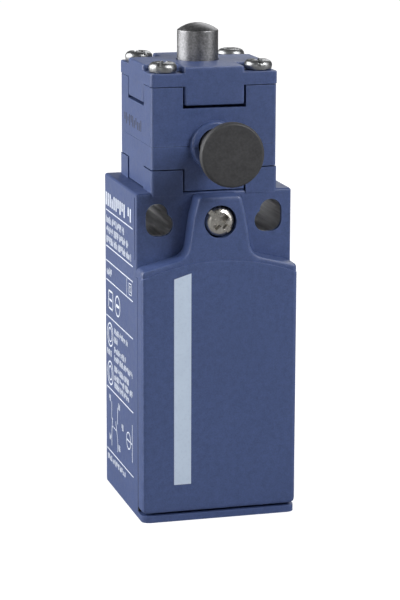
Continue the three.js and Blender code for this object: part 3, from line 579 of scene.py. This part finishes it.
def contact_diagram(panel, draw):
    """One contact that opens and one that closes, a dashed link between them, and a ring on a bar."""
    width = 0.24
    opening, closing = 4.0, 8.9
    upper_top, upper_foot = 17.4, 14.0
    lower_top, lower_foot = 11.0, 8.4
    blade_tip = 14.2
    for x, lean in ((opening, 0.6), (closing, -1.6)):
        panel.line((x, upper_foot), (x, upper_top), width)
        panel.line((x, lower_foot), (x, lower_top), width)
        panel.line((x, lower_top), (x + lean, blade_tip), width)
    panel.line((opening, upper_foot), (opening + 1, upper_foot), width)
    link_height, dash_length = 12.5, 0.7
    for dash in (4.6, 5.8, 7.0):
        panel.line((dash, link_height), (dash + dash_length, link_height), width)
    for x, foot in ((2.0, 17.2), (2.2, 9.3), (9.6, 17.2), (9.7, 8.9), (12.4, 13.8)):
        panel.greeked(x, x + 1.5, foot, 1.25, draw)
    ring_height, bar_x = 13.2, 20.9
    panel.ring((17.9, ring_height), 1.75, width)
    panel.line((16.6, ring_height), (bar_x, ring_height), width)
    panel.line((bar_x, 9.7), (bar_x, 17.1), width)


def head_print():
    """The dark mark on the left side of the reset housing, greeked."""
    panel = Sheet((head_low.x, off_wall(4.3), case_low.z), (0, -1, 0), (0, 0, 1))
    panel.greeked(0, 13.4, 72.5, 2.1, random.Random(11), 1.5)
    panel.finish("head_print", DARK_INK, "case")


def cover_stripe():
    """The pale upright stripe on the cover, cut at a slant along its top."""
    panel = Sheet((0, cover_low.y, case_low.z), (1, 0, 0), (0, 0, 1))
    left, right, foot, top_left, top_right = -8.95, -5.65, 7.2, 46.75, 47.75
    panel.patch([(left, foot), (right, foot), (right, top_right), (left, top_left)])
    panel.finish("cover_stripe", STRIPE_INK, "cover")


# ---------------------------------------------------------------- the whole switch

EDGE_WIDTHS = {
    # in mm, of the rounding that each node's sharp edges get
    "base_case": 0.09,
    "front_cover": 0.1,
    "head_cap": 0.1,
    "reset_housing_lower": 0.05,
    "reset_housing_upper": 0.05,
    "contact_housing": 0.12,
    "plunger": 0.1,
    "reset_knob": 0.12,
    "latch_slide": 0.08,
}
SMALL_EDGE = 0.05  # screws, strips and other small pieces

SPRINGS = {
    # node: turns, wire radius in mm, axis
    "return_spring": (8, 0.3, "z"),
    "latch_spring": (4, 0.15, "y"),
    "carrier_spring": (5, 0.2, "z"),
    "contact_spring_closed": (4, 0.15, "z"),
    "contact_spring_open": (4, 0.15, "z"),
}


def finish_switch():
    for node in sorted(frame["nodes"]):
        if node not in SPRINGS:
            refined(node, EDGE_WIDTHS.get(node, SMALL_EDGE) * MM)
    wires = {node: coil(node, turns, wire * MM, axis) for node, (turns, wire, axis) in SPRINGS.items()}
    for node, axis, joint, fixed_end in (
        ("return_spring", "z", "plunger_press", "low"),
        ("carrier_spring", "z", "carrier_follow", "low"),
        ("latch_spring", "y", "reset_pull", "low"),
    ):
        squashed(wires[node])
    # Black beads in the side seams: painted shade, and a guessed edge of the gasket.
    seam_shade_bead("seam_shade_bead_left", -1)
    seam_shade_bead("seam_shade_bead_right", 1)
    side_print()
    head_print()
    cover_stripe()


# ---------------------------------------------------------------- stage, light and camera


def stage():
    """A white floor under the switch, which runs on into a white backdrop."""
    half = 4.0
    level = above_base(-0.05)
    mesh = bpy.data.meshes.new("floor")
    corners = [(-half, -half), (half, -half), (half, half), (-half, half)]
    mesh.from_pydata([(x, y, level) for x, y in corners], [], [(0, 1, 2, 3)])
    look = Look("floor", 0.9, specular=0.1)
    paper = look.noise(40, 3)
    look.colour(look.mixed(look.spread(paper, 0, 1), (0.32, 0.32, 0.32), (0.34, 0.34, 0.34)))
    look.shader.inputs["Emission Color"].default_value = (1, 1, 1, 1)
    seen_floor = look.nodes.new("ShaderNodeLightPath").outputs["Is Camera Ray"]
    look.links.new(look.spread(seen_floor, 0, 0.85, 0, 1), look.shader.inputs["Emission Strength"])
    floor = new_piece("floor", mesh, look.material)

    world = bpy.data.worlds.new("studio")
    bpy.context.scene.world = world
    world.use_nodes = True
    nodes, links = world.node_tree.nodes, world.node_tree.links
    backdrop = nodes["Background"]
    backdrop.inputs["Color"].default_value = (1, 1, 1, 1)
    backdrop.inputs["Strength"].default_value = 1.0
    room = nodes.new("ShaderNodeBackground")
    room.inputs["Color"].default_value = (0.95, 0.97, 1, 1)
    room.inputs["Strength"].default_value = 0.08
    seen = nodes.new("ShaderNodeLightPath")
    mix = nodes.new("ShaderNodeMixShader")
    links.new(seen.outputs["Is Camera Ray"], mix.inputs["Fac"])
    links.new(room.outputs["Background"], mix.inputs[1])
    links.new(backdrop.outputs["Background"], mix.inputs[2])
    links.new(mix.outputs["Shader"], nodes["World Output"].inputs["Surface"])


def softbox(name, azimuth, elevation, distance, width, height, power):
    """An area light that faces the head. Azimuth 0 is in front of the switch, and 90 to its right."""
    aim = Vector((0, -0.013, 0))
    turn, tilt = math.radians(azimuth), math.radians(elevation)
    direction = Vector((math.sin(turn) * math.cos(tilt), -math.cos(turn) * math.cos(tilt), math.sin(tilt)))
    light = bpy.data.lights.new(name, "AREA")
    light.shape = "RECTANGLE"
    light.size, light.size_y = width, height
    light.energy = power
    lamp = bpy.data.objects.new(name, light)
    lamp.location = aim + direction * distance
    lamp.rotation_euler = (-direction).to_track_quat("-Z", "Y").to_euler()
    bpy.context.scene.collection.objects.link(lamp)


def lights():
    softbox("left_softbox", azimuth=-110, elevation=8, distance=0.8, width=0.9, height=1.2, power=18.5)
    softbox("fill_softbox", azimuth=-36, elevation=4, distance=1.2, width=0.5, height=0.5, power=1.0)
    softbox("key_softbox", azimuth=42, elevation=34, distance=0.95, width=0.42, height=0.38, power=7.8)
    softbox("right_softbox", azimuth=62, elevation=2, distance=1.0, width=0.3, height=0.5, power=1.2)
    softbox("rear_softbox", azimuth=150, elevation=30, distance=1.2, width=0.6, height=0.6, power=2.5)


def camera():
    """The camera stands a little left of the front and looks slightly down."""
    azimuth, elevation = math.radians(-15.48), math.radians(12.62)
    distance = 0.453
    roll = math.radians(0.16)
    target = Vector((0.00062, -0.0134, -0.01742))
    back = Vector(
        (
            math.sin(azimuth) * math.cos(elevation),
            -math.cos(azimuth) * math.cos(elevation),
            math.sin(elevation),
        )
    )
    data = bpy.data.cameras.new("camera")
    data.sensor_width = 36
    data.lens = 140.8
    data.clip_start, data.clip_end = 0.01, 20
    eye = bpy.data.objects.new("camera", data)
    eye.location = target + back * distance
    level = (-back).to_track_quat("-Z", "Y")
    eye.rotation_euler = (level @ Quaternion((0, 0, 1), roll)).to_euler()
    bpy.context.scene.collection.objects.link(eye)
    bpy.context.scene.camera = eye
    bpy.context.scene.view_settings.view_transform = "Standard"


finish_switch()
stage()
lights()
camera()
